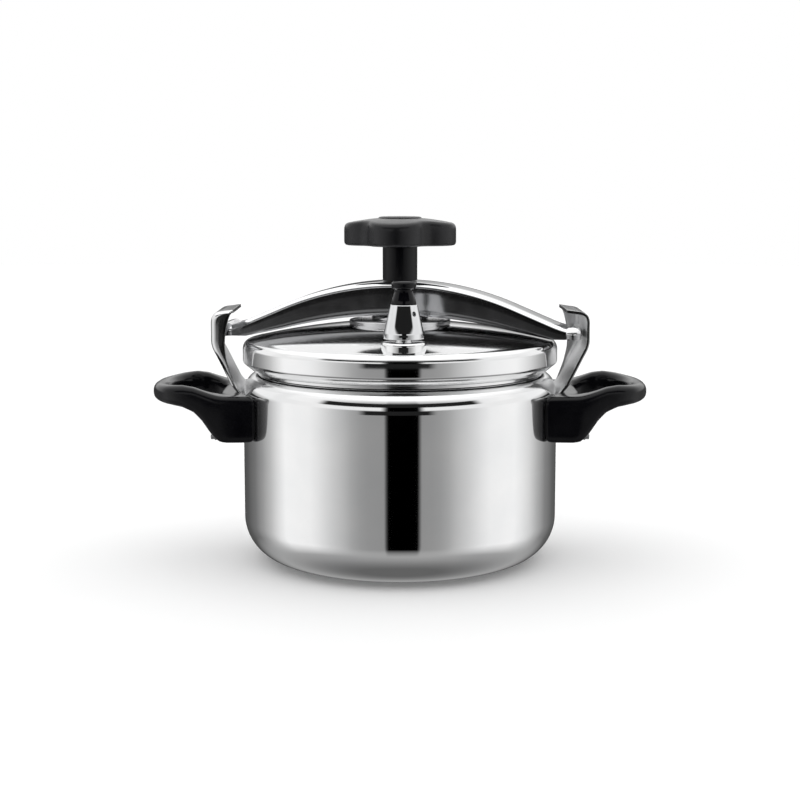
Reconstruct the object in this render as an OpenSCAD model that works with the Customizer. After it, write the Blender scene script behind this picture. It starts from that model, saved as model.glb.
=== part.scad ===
// Pressure canner: a polished aluminium pot with a clamped lid.
// The lid is held down by an arched yoke whose ends catch under two hooked lugs.
// A hand knob turns the clamp screw, which lifts the yoke against the lugs.
// Origin: centre of the pot's flat base. +Z up, +X towards the right handle.

/* [Pot] */
// Outer diameter of the pot's body
pot_d = 220; // [180:1:270]
// Height of the straight wall's top above the base
wall_top = 115.6; // [95:0.1:190]
// Thickness of the pot's wall
pot_wall = 2.5; // [1.8:0.1:3.5]
// Thickness of the pot's base
base_t = 4; // [3:0.1:8]
// Radius of the flat that the pot stands on
flat_r = 80; // [50:1:85]
// Height of the rounded corner between base and wall
corner_h = 30.5; // [15:0.5:40]
// How far the neck stands in from the body
neck_inset = 10.5; // [8:0.1:14]
// Height of the rounded shoulder
shoulder_h = 15.4; // [10:0.1:20]
// Height of the neck above the shoulder
neck_h = 14; // [12:0.1:20]
// How far the rim's bead stands out from the neck
bead_out = 1.5; // [1:0.1:2]

/* [Lid] */
// Thickness of the lid
lid_wall = 3; // [2:0.1:4]
// Height of the lid's upright band
band_h = 8.8; // [6:0.1:14]
// Height of the sloping lip below the band
lip_h = 5.6; // [4:0.1:8]
// How far the lip reaches down past the pot's rim
lip_drop = 11.4; // [9:0.1:13]
// Height of the rounded corner above the band
crown_h = 6; // [4:0.1:9]
// How far that corner stands in from the band
crown_in = 4.5; // [3:0.1:7]
// Radius of the lid's shallow dome
dome_r = 450; // [350:5:900]
// Thickness of the sealing ring
gasket_t = 4; // [3:0.1:6]
// Radial width of the sealing ring
gasket_w = 12; // [8:0.1:15]
// Radius of the steel disc in the middle of the lid
disc_r = 35.4; // [28:0.1:45]
// Height of that disc
disc_h = 3.6; // [2:0.1:6]

/* [Clamp] */
// Radius of the clamp screw
screw_r = 6; // [5:0.1:8]
// Travel of the yoke along the screw for one turn of the knob
screw_pitch = 3; // [2:0.1:5]
// Radius of the pressing foot
foot_r = 20; // [16:0.1:25]
// Height of the pressing foot above the disc
foot_h = 2.6; // [2:0.1:3]
// Width of the yoke
yoke_w = 37; // [30:0.5:46]
// Thickness of the yoke's sheet
yoke_t = 2.5; // [1.5:0.1:3]
// Height of the yoke's top above the lid's disc
yoke_rise = 27; // [25:0.1:40]
// Drop from the yoke's top to its ends
yoke_drop = 32.5; // [24:0.1:34]
// Depth of the yoke's side flanges at the middle
flange_h = 23; // [16:0.1:24]
// Turn of the yoke away from the line of the lugs
yoke_yaw = -7.5; // [-12:0.1:0]
// Radius of the black collar that stands on the yoke
collar_r = 12.1; // [10:0.1:14]

/* [Knob] */
// Radius to the tips of the knob's lobes
knob_r = 39.1; // [30:0.1:46]
// Height of the knob's rim
knob_h = 15; // [12:0.1:22]
// Height of the knob's underside above the yoke
knob_gap = 24.5; // [20:0.1:36]
// Height of the crowned top above the rim
knob_crown = 4.4; // [3:0.1:8]

/* [Lugs] */
// Width of each hooked lug
lug_w = 54; // [40:0.5:60]
// Thickness of each lug's strip
lug_t = 2; // [1.5:0.1:2.5]
// How far the lug's upright stands out from the pot
lug_reach = 20; // [17:0.1:24]
// How far the hook reaches back in from the upright
hook_in = 15.7; // [13:0.1:18]
// Height of the hook's outer bend above the pot's rim
hook_rise = 29.2; // [27:0.1:34]

/* [Handles] */
// How far each handle reaches out from the pot
handle_reach = 62.7; // [50:0.1:75]
// Half width of each handle at the pot
handle_half_w = 51; // [44:0.5:58]
// Height of the handle's base below the straight wall's top
handle_drop = 28; // [22:0.1:34]
// Height of the gripping bar
grip_h = 11.4; // [9:0.1:15]

/* [Valve] */
// Distance of the valve from the lid's centre
valve_dist = 88; // [70:0.5:90]
// Radius of the raised seat under the valve
seat_r = 14.7; // [13:0.1:17]
// Height of the weight
weight_h = 22; // [18:0.1:30]
// Radius of the weight's skirt
weight_r = 13.3; // [11:0.1:15]
// Radius of the weight's top
weight_top_r = 8.6; // [7:0.1:10]
// Height of the black cap on the weight
cap_h = 15.6; // [12:0.1:20]

/* [Hidden] */
$fn = 96;

gap = 0.3;                  // room between pieces of different bodies
snug = 0.05;                // running clearance of a shaft in its bore
eps = 0.01;
pot_r = pot_d / 2;
neck_r = pot_r - neck_inset;
shoulder_z = wall_top + shoulder_h;
rim_z = shoulder_z + neck_h;

// Lid heights, all measured from the pot's rim
lip_z = rim_z - lip_drop;
band_z = lip_z + lip_h;
band_top = band_z + band_h;
crown_z = band_top + crown_h;
crown_r = pot_r - crown_in;
lip_r = neck_r + bead_out + 0.5;
lip_out_r = lip_r + 1.5;
dome_top = crown_z + crown_r * crown_r / (2 * dome_r);
function dome_z(r) = dome_top - r * r / (2 * dome_r);
ceiling_z = rim_z + 0.1 + gasket_t;
disc_z = dome_z(disc_r) - 0.6;
disc_top = disc_z + disc_h;
// the rivets' tails lie just under the slope of the dome
disc_tail_z = dome_z(disc_r - 4.4) - lid_wall - 1.53;

// Clamp heights, all measured from the disc
foot_top = disc_top + foot_h;
yoke_top = disc_top + yoke_rise;
yoke_end_x = pot_r + lug_reach - 4;
yoke_end_z = yoke_top - yoke_drop;
collar_h = knob_gap + 0.5;
knob_z = yoke_top + knob_gap;
knob_top = knob_z + knob_h;
screw_top = knob_top + 0.9;
lift = 8.4;                 // travel of the yoke up to the hooks
well_h = lift + 1;          // depth of the knob's well, which the collar runs into
pin_z = knob_z + knob_h - 2;
cap_seat = knob_top + 1.2;  // floor of the recess that the knob's cap sits in

// Valve and safety valve
valve_turn = -88.4;
safety_turn = 90;
seat_top = dome_z(valve_dist) - 0.8;
boss_top = seat_top + 4;
weight_z = boss_top + 2;
weight_top = weight_z + weight_h;
vent_bore_r = 4;
vent_r = 3.9;

// Lugs
lug_x = pot_r + lug_reach;
hook_z = rim_z + hook_rise;
knee_z = hook_z - 22.5;
hook_slope = 7.7;
lug_leg_z = wall_top - handle_drop + 8;
rivet_turn = 7.5;
rivet_z = wall_top - 13;

// Handles
handle_z = wall_top - handle_drop;
handle_x = pot_r + handle_reach;
screw_y = 38;
screw_z = handle_z + 5.4;
screw_seat_x = pot_r + 15.6;   // floor of the recess that each handle screw's washer sits in
boss_x = pot_r + 6;

function arc(cx, cy, rx, ry, from, to, steps) =
    [for (i = [0 : steps]) let (a = from + (to - from) * i / steps)
        [cx + rx * cos(a), cy + ry * sin(a)]];

// ---- pot ---------------------------------------------------------------
module pot_outline(inset) {
    corner_w = pot_r - flat_r;
    polygon(concat(
        [[0, inset > 0 ? base_t : 0]],
        arc(flat_r, corner_h, corner_w - inset, corner_h - (inset > 0 ? base_t : 0), -90, 0, 20),
        arc(neck_r, wall_top, neck_inset - inset, shoulder_h - inset, 0, 90, 14),
        inset > 0
            ? [[neck_r - inset, shoulder_z - inset], [neck_r - inset, rim_z + 1], [0, rim_z + 1]]
            : [[neck_r, rim_z - 3], [neck_r + bead_out, rim_z - 2.2],
               [neck_r + bead_out, rim_z], [0, rim_z]]));
}

module pot() {
    color([0.78, 0.79, 0.8])
    difference() {
        rotate_extrude($fn = 180) difference() {
            pot_outline(0);
            pot_outline(pot_wall);
        }
        at_rivets() translate([0, 0, -pot_wall - 6]) cylinder(r = 2.2, h = 12 + pot_wall);
    }
}

// ---- lugs and their rivets ----------------------------------------------
module at_rivets() {
    for (side = [0, 180], turn = [-rivet_turn, rivet_turn])
        rotate([0, 0, side + turn])
            translate([pot_r, 0, rivet_z]) rotate([0, 90, 0]) children();
}

// Centre line of the strip, seen from the front: out, up, then in over the top.
module lug_side() {
    t = lug_t;
    bend = 7;
    tip_x = lug_x - hook_in;
    tip_z = hook_z + hook_in * tan(hook_slope);
    low_x = pot_r + 0.1;
    bend_z = hook_z + (bend - bend / cos(hook_slope)) - bend * (1 - tan(hook_slope));
    polygon(concat(
        [[low_x, wall_top + 1], [lug_x - t, knee_z + 0.6]],
        arc(lug_x - bend, bend_z, bend - t, bend - t, 0, 90 - hook_slope, 6),
        [[tip_x, tip_z - t], [tip_x, tip_z]],
        arc(lug_x - bend, bend_z, bend, bend, 90 - hook_slope, 0, 8),
        [[lug_x, knee_z], [low_x + t, wall_top]]));
}

// Stop flange folded in along one edge of the strip
module lug_stop() {
    tip_x = lug_x - hook_in;
    tip_z = hook_z + hook_in * tan(hook_slope);
    polygon([[pot_r + 3, wall_top + 2], [lug_x - 10.4, knee_z - 12], [lug_x - 9.6, knee_z + 4],
             [lug_x - 12.6, tip_z - 6], [tip_x, tip_z - 1], [lug_x - 7, hook_z],
             [lug_x - 2, hook_z - 3], [lug_x - 0.6, hook_z - 8], [lug_x - 0.6, knee_z + 0.6]]);
}

module lug() {
    difference() {
        union() {
            translate([0, lug_w / 2, 0]) rotate([90, 0, 0]) linear_extrude(lug_w) lug_side();
            translate([0, lug_w / 2, 0]) rotate([90, 0, 0]) linear_extrude(lug_t) lug_stop();
            intersection() {
                difference() {
                    translate([0, 0, lug_leg_z])
                        cylinder(r = pot_r + 0.1 + lug_t, h = wall_top + 2 - lug_leg_z, $fn = 180);
                    translate([0, 0, lug_leg_z - 1])
                        cylinder(r = pot_r + 0.1, h = wall_top + 6 - lug_leg_z, $fn = 180);
                }
                translate([0, -lug_w / 2, lug_leg_z]) cube([pot_r * 2, lug_w, pot_r]);
            }
        }
        at_rivets() translate([0, 0, -6]) cylinder(r = 2.2, h = 16);
    }
}

module right_lug() { color([0.75, 0.76, 0.78]) lug(); }
module left_lug() { color([0.75, 0.76, 0.78]) rotate([0, 0, 180]) lug(); }

module lug_rivets() {
    color([0.7, 0.7, 0.72]) at_rivets() {
        translate([0, 0, -pot_wall - 1.7]) cylinder(r = 4.5, h = 1.5);
        translate([0, 0, -pot_wall - 1]) cylinder(r = 2.15, h = pot_wall + lug_t + 2);
        translate([0, 0, lug_t + 0.1]) cylinder(r = 4, h = 1.5);
    }
}

// ---- handles -------------------------------------------------------------
module at_handle_screws() {
    for (side = [0, 180], y = [-screw_y, screw_y])
        rotate([0, 0, side]) translate([0, y, screw_z]) rotate([0, 90, 0]) children();
}

module handle_bosses() {
    color([0.72, 0.73, 0.75]) difference() {
        at_handle_screws() translate([0, 0, pot_r - 14]) cylinder(r = 5, h = boss_x - pot_r + 14);
        cylinder(r = pot_r + 0.05, h = pot_r * 2, $fn = 180);
        at_handle_screws() translate([0, 0, pot_r - 4]) cylinder(r = 2.05, h = 20);
    }
}

// The handle seen from above: wide where it wraps the pot, a rounded loop outside.
module handle_plan() {
    w = handle_half_w;
    x0 = pot_r - 16;
    difference() {
        polygon(concat(
            [[x0, -w], [pot_r + 12, -w]],
            arc(handle_x - 26, 0, 26, w - 4, -80, 80, 20),
            [[pot_r + 12, w], [x0, w]]));
        polygon(concat(
            arc(handle_x - 30, 0, 17, w - 14, -75, 75, 12),
            [[pot_r + 22, w - 15], [pot_r + 15, w - 22], [pot_r + 15, -w + 22], [pot_r + 22, -w + 15]]));
    }
}

// The handle seen from the front: a deep root under an upswept grip.
module handle_side() {
    top = wall_top + 4;
    grip = wall_top + 3.2;
    polygon(concat(
        [[0, handle_z], [pot_r + 13, handle_z], [pot_r + 18.5, handle_z + 7],
         [pot_r + 24, handle_z + 16], [pot_r + 30, handle_z + 21.4], [pot_r + 40, handle_z + 24.5]],
        [[handle_x - 7, grip - grip_h / 2]],
        arc(handle_x - 6, grip, 6, grip_h / 2, -80, 80, 8),
        [[handle_x - 10, grip + grip_h / 2 + 0.6], [pot_r + 46, wall_top + 9.6],
         [pot_r + 38, wall_top + 10.8], [pot_r + 30, wall_top + 9.6], [pot_r + 22, wall_top + 6.4],
         [pot_r + 14, top], [0, top]]));
}

module handle() {
    difference() {
        intersection() {
            linear_extrude(rim_z) handle_plan();
            translate([0, handle_half_w + 1, 0]) rotate([90, 0, 0])
                linear_extrude(2 * handle_half_w + 2) handle_side();
        }
        cylinder(r = pot_r + 0.15, h = rim_z + 40, $fn = 180);
        // pocket for the lug's leg and its rivets
        intersection() {
            translate([0, 0, lug_leg_z - 1]) cylinder(r = pot_r + lug_t + 2.2, h = pot_r, $fn = 180);
            translate([0, -lug_w / 2 - 0.5, 0]) cube([pot_r * 2, lug_w + 1, rim_z]);
        }
        translate([0, -lug_w / 2 - 0.5, wall_top - 1])
            cube([pot_r + 7, lug_w + 1, 20]);
        // holes for the bosses and screws
        at_handle_screws() cylinder(r = 5.1, h = boss_x + 0.1);
        at_handle_screws() cylinder(r = 2.3, h = handle_x);
        at_handle_screws() translate([0, 0, screw_seat_x]) cylinder(r = 5.2, h = handle_reach);
    }
}

module right_handle() { color([0.07, 0.07, 0.08]) handle(); }
module left_handle() { color([0.07, 0.07, 0.08]) rotate([0, 0, 180]) handle(); }

module handle_washers() {
    color([0.6, 0.61, 0.63]) at_handle_screws() translate([0, 0, screw_seat_x]) difference() {
        cylinder(r = 4.8, h = 0.8);
        translate([0, 0, -1]) cylinder(r = 2.1, h = 3);
    }
}

module handle_screws() {
    color([0.66, 0.67, 0.69]) at_handle_screws() difference() {
        union() {
            translate([0, 0, pot_r - 3.9]) cylinder(r = 2, h = screw_seat_x + 5 - pot_r);
            translate([0, 0, screw_seat_x + 0.82]) cylinder(r = 4.2, h = 2.6);
        }
        translate([-0.6, -6, screw_seat_x + 2.2]) cube([1.2, 12, 4]);
    }
}

// ---- lid -------------------------------------------------------------------
module lid_outline() {
    flat_in = neck_r - gasket_w + 4;
    dome_steps = 24;
    polygon(concat(
        [[lip_r, lip_z], [lip_out_r, lip_z], [pot_r - 1, band_z - 0.8], [pot_r, band_z],
         [pot_r, band_top]],
        arc(crown_r, band_top, crown_in, crown_h, 10, 90, 8),
        [for (i = [1 : dome_steps]) let (r = crown_r * (1 - i / dome_steps)) [r, dome_z(r)]],
        [for (i = [0 : dome_steps]) let (r = (flat_in - 2) * i / dome_steps)
            [r, dome_z(r) - lid_wall]],
        [[flat_in, ceiling_z], [pot_r - lid_wall, ceiling_z], [pot_r - lid_wall, band_z + 1.5],
         [lip_r, lip_z + 3]]));
}

module at_turn(turn) {
    rotate([0, 0, turn]) translate([valve_dist, 0, 0]) children();
}

// Raised round boss under the vent, and a flat seat level with the lid's edge at the back
module lid_boss(turn, top) {
    at_turn(turn) translate([0, 0, ceiling_z + 0.6]) cylinder(r = seat_r, h = top - ceiling_z - 0.6);
}

module lid() {
    color([0.8, 0.81, 0.82]) difference() {
        union() {
            difference() {
                rotate_extrude($fn = 180) lid_outline();
                for (turn = [valve_turn, safety_turn])
                    at_turn(turn) translate([0, 0, seat_top]) cylinder(r = seat_r, h = 20);
            }
            lid_boss(valve_turn, boss_top);
            lid_boss(safety_turn, seat_top);
        }
        at_turn(valve_turn) translate([0, 0, band_z]) cylinder(r = vent_bore_r, h = 40);
        at_turn(safety_turn) translate([0, 0, band_z]) cylinder(r = 4.6, h = 40);
        at_disc_rivets() translate([0, 0, crown_z]) cylinder(r = 2.2, h = 30);
        // flat under the vent's nut
        for (turn = [valve_turn, safety_turn])
            at_turn(turn) translate([0, 0, ceiling_z - 5]) cylinder(r = 8.4, h = 5.6);
    }
}

module lid_gasket() {
    out = pot_r - lid_wall - 0.1;
    color([0.15, 0.15, 0.16]) translate([0, 0, rim_z + 0.05]) difference() {
        rotate_extrude($fn = 180) difference() {
            translate([neck_r - gasket_w + 4.6, 0]) square([out - neck_r + gasket_w - 4.6, gasket_t]);
            translate([neck_r + 3.4, -1]) square([2, gasket_t - 1]);
        }
        at_turn(valve_turn) translate([0, 0, -1]) cylinder(r = 8.6, h = 20);
        at_turn(safety_turn) translate([0, 0, -1]) cylinder(r = 8.6, h = 20);
    }
}

module at_disc_rivets() {
    for (a = [30 : 60 : 330])
        if (a != 90 && a != 270) rotate([0, 0, a]) translate([disc_r - 8, 0, 0]) children();
}

module center_disc() {
    steps = 8;
    color([0.72, 0.72, 0.74]) difference() {
        rotate_extrude($fn = 144) polygon(concat(
            [for (i = [0 : steps]) let (r = disc_r * i / steps) [r, dome_z(r) + 0.02]],
            [[disc_r, disc_top - 0.8], [disc_r - 0.8, disc_top], [0, disc_top]]));
        at_disc_rivets() translate([0, 0, disc_z - 1]) cylinder(r = 2.2, h = 20);
        at_disc_rivets() translate([0, 0, disc_top - 1]) cylinder(r = 3.5, h = 20);
    }
}

module disc_rivets() {
    color([0.8, 0.81, 0.82]) at_disc_rivets() {
        translate([0, 0, disc_tail_z]) cylinder(r = 2.15, h = disc_top - 0.6 - disc_tail_z);
        translate([0, 0, disc_top - 0.98]) cylinder(r = 3.4, h = 0.96);
        translate([0, 0, disc_tail_z]) cylinder(r = 3.6, h = 1.2);
    }
}

// ---- vent and its weight ---------------------------------------------------
module vent_pipe() {
    color([0.72, 0.6, 0.32]) at_turn(valve_turn) difference() {
        union() {
            translate([0, 0, ceiling_z - 9]) cylinder(r = vent_r, h = boss_top - ceiling_z + 10);
            translate([0, 0, boss_top + 0.02]) cylinder(r = 5.4, h = 1.6);
            translate([0, 0, boss_top + 0.02]) cylinder(r = 4.4, h = 10);
        }
        translate([0, 0, ceiling_z - 10]) cylinder(r = 1.5, h = 60);
    }
}

module vent_washer() {
    color([0.25, 0.25, 0.26]) at_turn(valve_turn) translate([0, 0, ceiling_z - 0.7]) difference() {
        cylinder(r = 7, h = 1.2);
        translate([0, 0, -1]) cylinder(r = vent_r + 0.05, h = 4);
    }
}

module vent_nut() {
    color([0.74, 0.62, 0.34]) at_turn(valve_turn) translate([0, 0, ceiling_z - 4.2]) difference() {
        cylinder(r = 7.2, h = 3.4, $fn = 6);
        translate([0, 0, -1]) cylinder(r = vent_r + 0.05, h = 6, $fn = 64);
    }
}

module vent_filter() {
    color([0.7, 0.71, 0.72]) at_turn(valve_turn) translate([0, 0, ceiling_z - 12]) difference() {
        cylinder(r = 5.6, h = 5);
        translate([0, 0, 1]) cylinder(r = 4.8, h = 5);
        for (a = [0 : 60 : 300]) rotate([0, 0, a])
            translate([0, 0, 2.6]) rotate([0, 90, 0]) cylinder(r = 0.8, h = 8, $fn = 16);
    }
}

module valve_weight() {
    skirt_h = 5;
    color([0.8, 0.81, 0.83]) at_turn(valve_turn) difference() {
        translate([0, 0, weight_z]) union() {
            cylinder(r = weight_r, h = skirt_h);
            translate([0, 0, skirt_h]) cylinder(r1 = weight_r, r2 = weight_top_r, h = weight_h - skirt_h);
        }
        translate([0, 0, weight_z - 1]) cylinder(r = 5.8, h = 12);
        translate([0, 0, weight_z + 10]) cylinder(r = 2.6, h = weight_h);
        translate([0, 0, weight_z + 16.4]) rotate([0, 90, 40]) cylinder(r = 1.6, h = 30);
    }
}

module valve_needle() {
    color([0.66, 0.67, 0.69]) at_turn(valve_turn) {
        translate([0, 0, weight_z + 11]) cylinder(r = 2.5, h = weight_h - 5);
        translate([0, 0, boss_top + 10 + gap]) cylinder(r1 = 1.2, r2 = 2.5, h = 3);
        translate([0, 0, boss_top + 13 + gap - eps]) cylinder(r = 2.5, h = 1);
    }
}

module valve_cap() {
    color([0.06, 0.06, 0.07]) at_turn(valve_turn) translate([0, 0, weight_top + 0.02]) difference() {
        rotate_extrude() polygon(concat(
            [[0, 0], [weight_top_r - 0.4, 0], [weight_top_r - 1.2, 3], [5.8, cap_h - 5.6]],
            arc(0, cap_h - 3, 7.8, 3, -30, 90, 9)));
        translate([0, 0, -1]) cylinder(r = 2.55, h = 7.2);
    }
}

// ---- safety valve ------------------------------------------------------------
module safety_body() {
    color([0.75, 0.76, 0.78]) at_turn(safety_turn) difference() {
        union() {
            translate([0, 0, ceiling_z - 7]) cylinder(r = 4.5, h = seat_top - ceiling_z + 8.5);
            translate([0, 0, seat_top + 1.02]) cylinder(r = 8, h = 3, $fn = 6);
            translate([0, 0, seat_top + 2]) cylinder(r = 6, h = 12);
        }
        translate([0, 0, ceiling_z - 10]) cylinder(r = 1.6, h = 40);
        translate([0, 0, seat_top + 2.4]) cylinder(r = 4.4, h = 9.6);
        for (a = [0, 90, 180, 270]) rotate([0, 0, a + 45])
            translate([0, 0, seat_top + 9.6]) rotate([0, 90, 0]) cylinder(r = 1.1, h = 9, $fn = 24);
        translate([0, 0, seat_top + 10]) cylinder(r = 1.95, h = 9);
    }
}

module safety_seal() {
    color([0.2, 0.2, 0.21]) at_turn(safety_turn) translate([0, 0, seat_top + 0.01]) difference() {
        cylinder(r = 8, h = 1);
        translate([0, 0, -1]) cylinder(r = 4.55, h = 3);
    }
}

module safety_nut() {
    color([0.7, 0.71, 0.73]) at_turn(safety_turn) translate([0, 0, ceiling_z - 3]) difference() {
        cylinder(r = 7.8, h = 3.4, $fn = 6);
        translate([0, 0, -1]) cylinder(r = 4.55, h = 6, $fn = 64);
    }
}

module safety_pin() {
    color([0.7, 0.58, 0.3]) at_turn(safety_turn) translate([0, 0, seat_top + 2.42]) {
        cylinder(r = 4, h = 1.2);
        cylinder(r = 1.9, h = 13);
    }
}

module safety_spring() {
    wire = 0.45;
    coil_r = 3.1;
    turns = 4;
    start = seat_top + 3.65 + wire;
    pitch = (seat_top + 11.95 - wire - start) / (turns - 1);
    color([0.6, 0.6, 0.62]) at_turn(safety_turn)
    for (i = [0 : turns - 1]) translate([0, 0, start + i * pitch])
        rotate_extrude($fn = 32) translate([coil_r, 0]) circle(r = wire, $fn = 14);
}

// ---- clamp ---------------------------------------------------------------------
module presser_foot() {
    color([0.74, 0.75, 0.77]) translate([0, 0, disc_top + 0.1]) difference() {
        union() {
            cylinder(r = foot_r, h = foot_h - 1);
            cylinder(r = foot_r - 1, h = foot_h);
            cylinder(r = screw_r + 4, h = foot_h + 6);
        }
        translate([0, 0, 1]) cylinder(r = screw_r + snug, h = 20);
    }
}

module foot_ring() {
    color([0.55, 0.56, 0.58]) translate([0, 0, disc_top + foot_h + 6.12]) difference() {
        cylinder(r = screw_r + 3, h = 1);
        translate([0, 0, -1]) cylinder(r = screw_r + snug, h = 3);
    }
}

module clamp_screw() {
    start = disc_top + 1.15;
    groove = 0.35;
    color([0.7, 0.71, 0.73]) difference() {
        translate([0, 0, start]) cylinder(r = screw_r, h = screw_top - start);
        for (z = [foot_top + 9 : screw_pitch : knob_z - 2])
            translate([0, 0, z]) rotate_extrude() translate([screw_r, 0])
                rotate(45) square([groove * 2, groove * 2], center = true);
        translate([0, 0, pin_z]) rotate([90, 0, 0]) cylinder(r = 1.5, h = 40, center = true);
    }
}

// Height of the yoke's top face at distance x from the middle: a crown, a
// straight slope and a sweep out to a nearly level end.
arch_slope = 23;
arch_r = 205;
arch_x = arch_r * sin(arch_slope);
arch_fall = arch_r * (1 - cos(arch_slope));
toe_slope = 7;
toe_r = 70;
toe_w = toe_r * (sin(arch_slope) - sin(toe_slope));
toe_fall = toe_r * (cos(toe_slope) - cos(arch_slope));
slope_w = (yoke_drop - arch_fall - toe_fall) / tan(arch_slope);
function top_line(cut) = concat(
    arc(0, yoke_top - arch_r, arch_r - cut, arch_r - cut, 90, 90 - arch_slope, 12),
    arc(arch_x + slope_w + toe_r * sin(arch_slope),
        yoke_end_z + toe_r * cos(toe_slope),
        toe_r + cut, toe_r + cut, 270 - arch_slope, 270 - toe_slope, 8),
    [[yoke_end_x, yoke_end_z - cut - (yoke_end_x - arch_x - slope_w - toe_w) * tan(toe_slope)]]);

// Lower edge of the side flanges: a shallow bow that runs out level at the ends.
flange_end = 6;
flange_bow = 24.8;           // how far the bow would fall at the ends
function low_line() = [for (i = [0 : 24])
    let (x = yoke_end_x * (1 - i / 24))
    [x, max(yoke_end_z - flange_end, yoke_top - flange_h - flange_bow * pow(x / yoke_end_x, 2))]];

function mirror_x(points) = [for (i = [len(points) - 1 : -1 : 0]) [-points[i][0], points[i][1]]];

module yoke_side(cut) {
    low = cut > 0 ? [for (p = low_line()) [p[0], p[1] - 30]] : low_line();
    right = concat(top_line(cut), low);
    polygon(concat(right, mirror_x(right)));
}

module yoke() {
    inner_w = yoke_w - 2 * yoke_t;
    color([0.8, 0.81, 0.83]) rotate([0, 0, yoke_yaw]) difference() {
        intersection() {
            rotate([90, 0, 0]) linear_extrude(yoke_w, center = true) yoke_side(0);
            linear_extrude(yoke_top + 9) yoke_plan();
        }
        rotate([90, 0, 0]) linear_extrude(inner_w, center = true) intersection() {
            yoke_side(yoke_t);
            square([2 * (yoke_end_x - yoke_t), 2 * yoke_top + 40], center = true);
        }
        cylinder(r = screw_r + 3, h = yoke_top + 10);
    }
}

module yoke_plan() {
    intersection() {
        square([2 * yoke_end_x, yoke_w], center = true);
        circle(r = yoke_end_x + 1.8, $fn = 180);
    }
}

module yoke_bush() {
    top = yoke_top + collar_h - 3;
    bottom = yoke_top - yoke_t - 4;
    color([0.72, 0.6, 0.32]) difference() {
        union() {
            translate([0, 0, bottom]) cylinder(r = screw_r + 2.95, h = top - bottom);
            translate([0, 0, bottom]) cylinder(r = screw_r + 6, h = 3.4);
        }
        translate([0, 0, bottom - 1]) cylinder(r = screw_r + snug, h = top - bottom + 2);
    }
}

module yoke_collar() {
    color([0.06, 0.06, 0.07]) translate([0, 0, yoke_top + 0.02]) difference() {
        cylinder(r = collar_r, h = collar_h);
        translate([0, 0, -1]) cylinder(r = screw_r + 3, h = collar_h - 1.98);
        cylinder(r = screw_r + gap, h = collar_h + 1);
    }
}

// ---- knob -----------------------------------------------------------------------
module knob_plan() {
    lobe_r = 18.5;
    core_in = 9.2;
    rotate(yoke_yaw - 0.5) {
        circle(r = knob_r - core_in);
        for (a = [0 : 90 : 270]) rotate(a) translate([knob_r - lobe_r, 0]) circle(r = lobe_r);
    }
}

module knob() {
    crown_r = (knob_r * knob_r + knob_crown * knob_crown) / (2 * knob_crown);
    color([0.09, 0.09, 0.1]) difference() {
        intersection() {
            translate([0, 0, knob_z]) linear_extrude(knob_h + knob_crown) knob_plan();
            translate([0, 0, knob_top + knob_crown - crown_r]) sphere(r = crown_r, $fn = 180);
        }
        translate([0, 0, knob_z - 1]) cylinder(r = collar_r + gap, h = well_h + 1);
        translate([0, 0, knob_z]) cylinder(r = screw_r + 2.5, h = knob_h + 1);
        translate([0, 0, cap_seat]) cylinder(r = 15.2, h = 20);
        translate([0, 0, pin_z]) rotate([90, 0, 0]) cylinder(r = 1.5, h = 24, center = true);
    }
}

module knob_insert() {
    start = knob_z + well_h + 0.2;
    color([0.68, 0.69, 0.71]) difference() {
        translate([0, 0, start]) cylinder(r = screw_r + 2.45, h = screw_top - start);
        translate([0, 0, start - 1]) cylinder(r = screw_r + 0.02, h = knob_h);
        translate([0, 0, pin_z]) rotate([90, 0, 0]) cylinder(r = 1.5, h = 30, center = true);
    }
}

module knob_pin() {
    color([0.6, 0.6, 0.62]) translate([0, 0, pin_z]) rotate([90, 0, 0])
        cylinder(r = 1.45, h = 23, center = true);
}

module knob_cap() {
    color([0.09, 0.09, 0.1]) translate([0, 0, cap_seat + 0.02]) difference() {
        cylinder(r = 15, h = knob_crown - 0.7);
        translate([0, 0, -1]) cylinder(r = 12, h = 2.4);
    }
}

pot();
left_lug();
right_lug();
lug_rivets();
handle_bosses();
left_handle();
right_handle();
handle_screws();
handle_washers();
lid();
lid_gasket();
center_disc();
disc_rivets();
vent_pipe();
vent_washer();
vent_nut();
vent_filter();
valve_weight();
valve_needle();
valve_cap();
safety_body();
safety_seal();
safety_nut();
safety_pin();
safety_spring();
presser_foot();
foot_ring();
clamp_screw();
yoke();
yoke_bush();
yoke_collar();
knob();
knob_insert();
knob_pin();
knob_cap();
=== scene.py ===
# Pressure canner: a polished aluminium pot, a lid clamped down by a chromed yoke, a screw
# and a knob, two hooked lugs and two black loop handles. Everything is in metres.
import math

import bmesh
import bpy
from mathutils import Matrix, Vector


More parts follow.
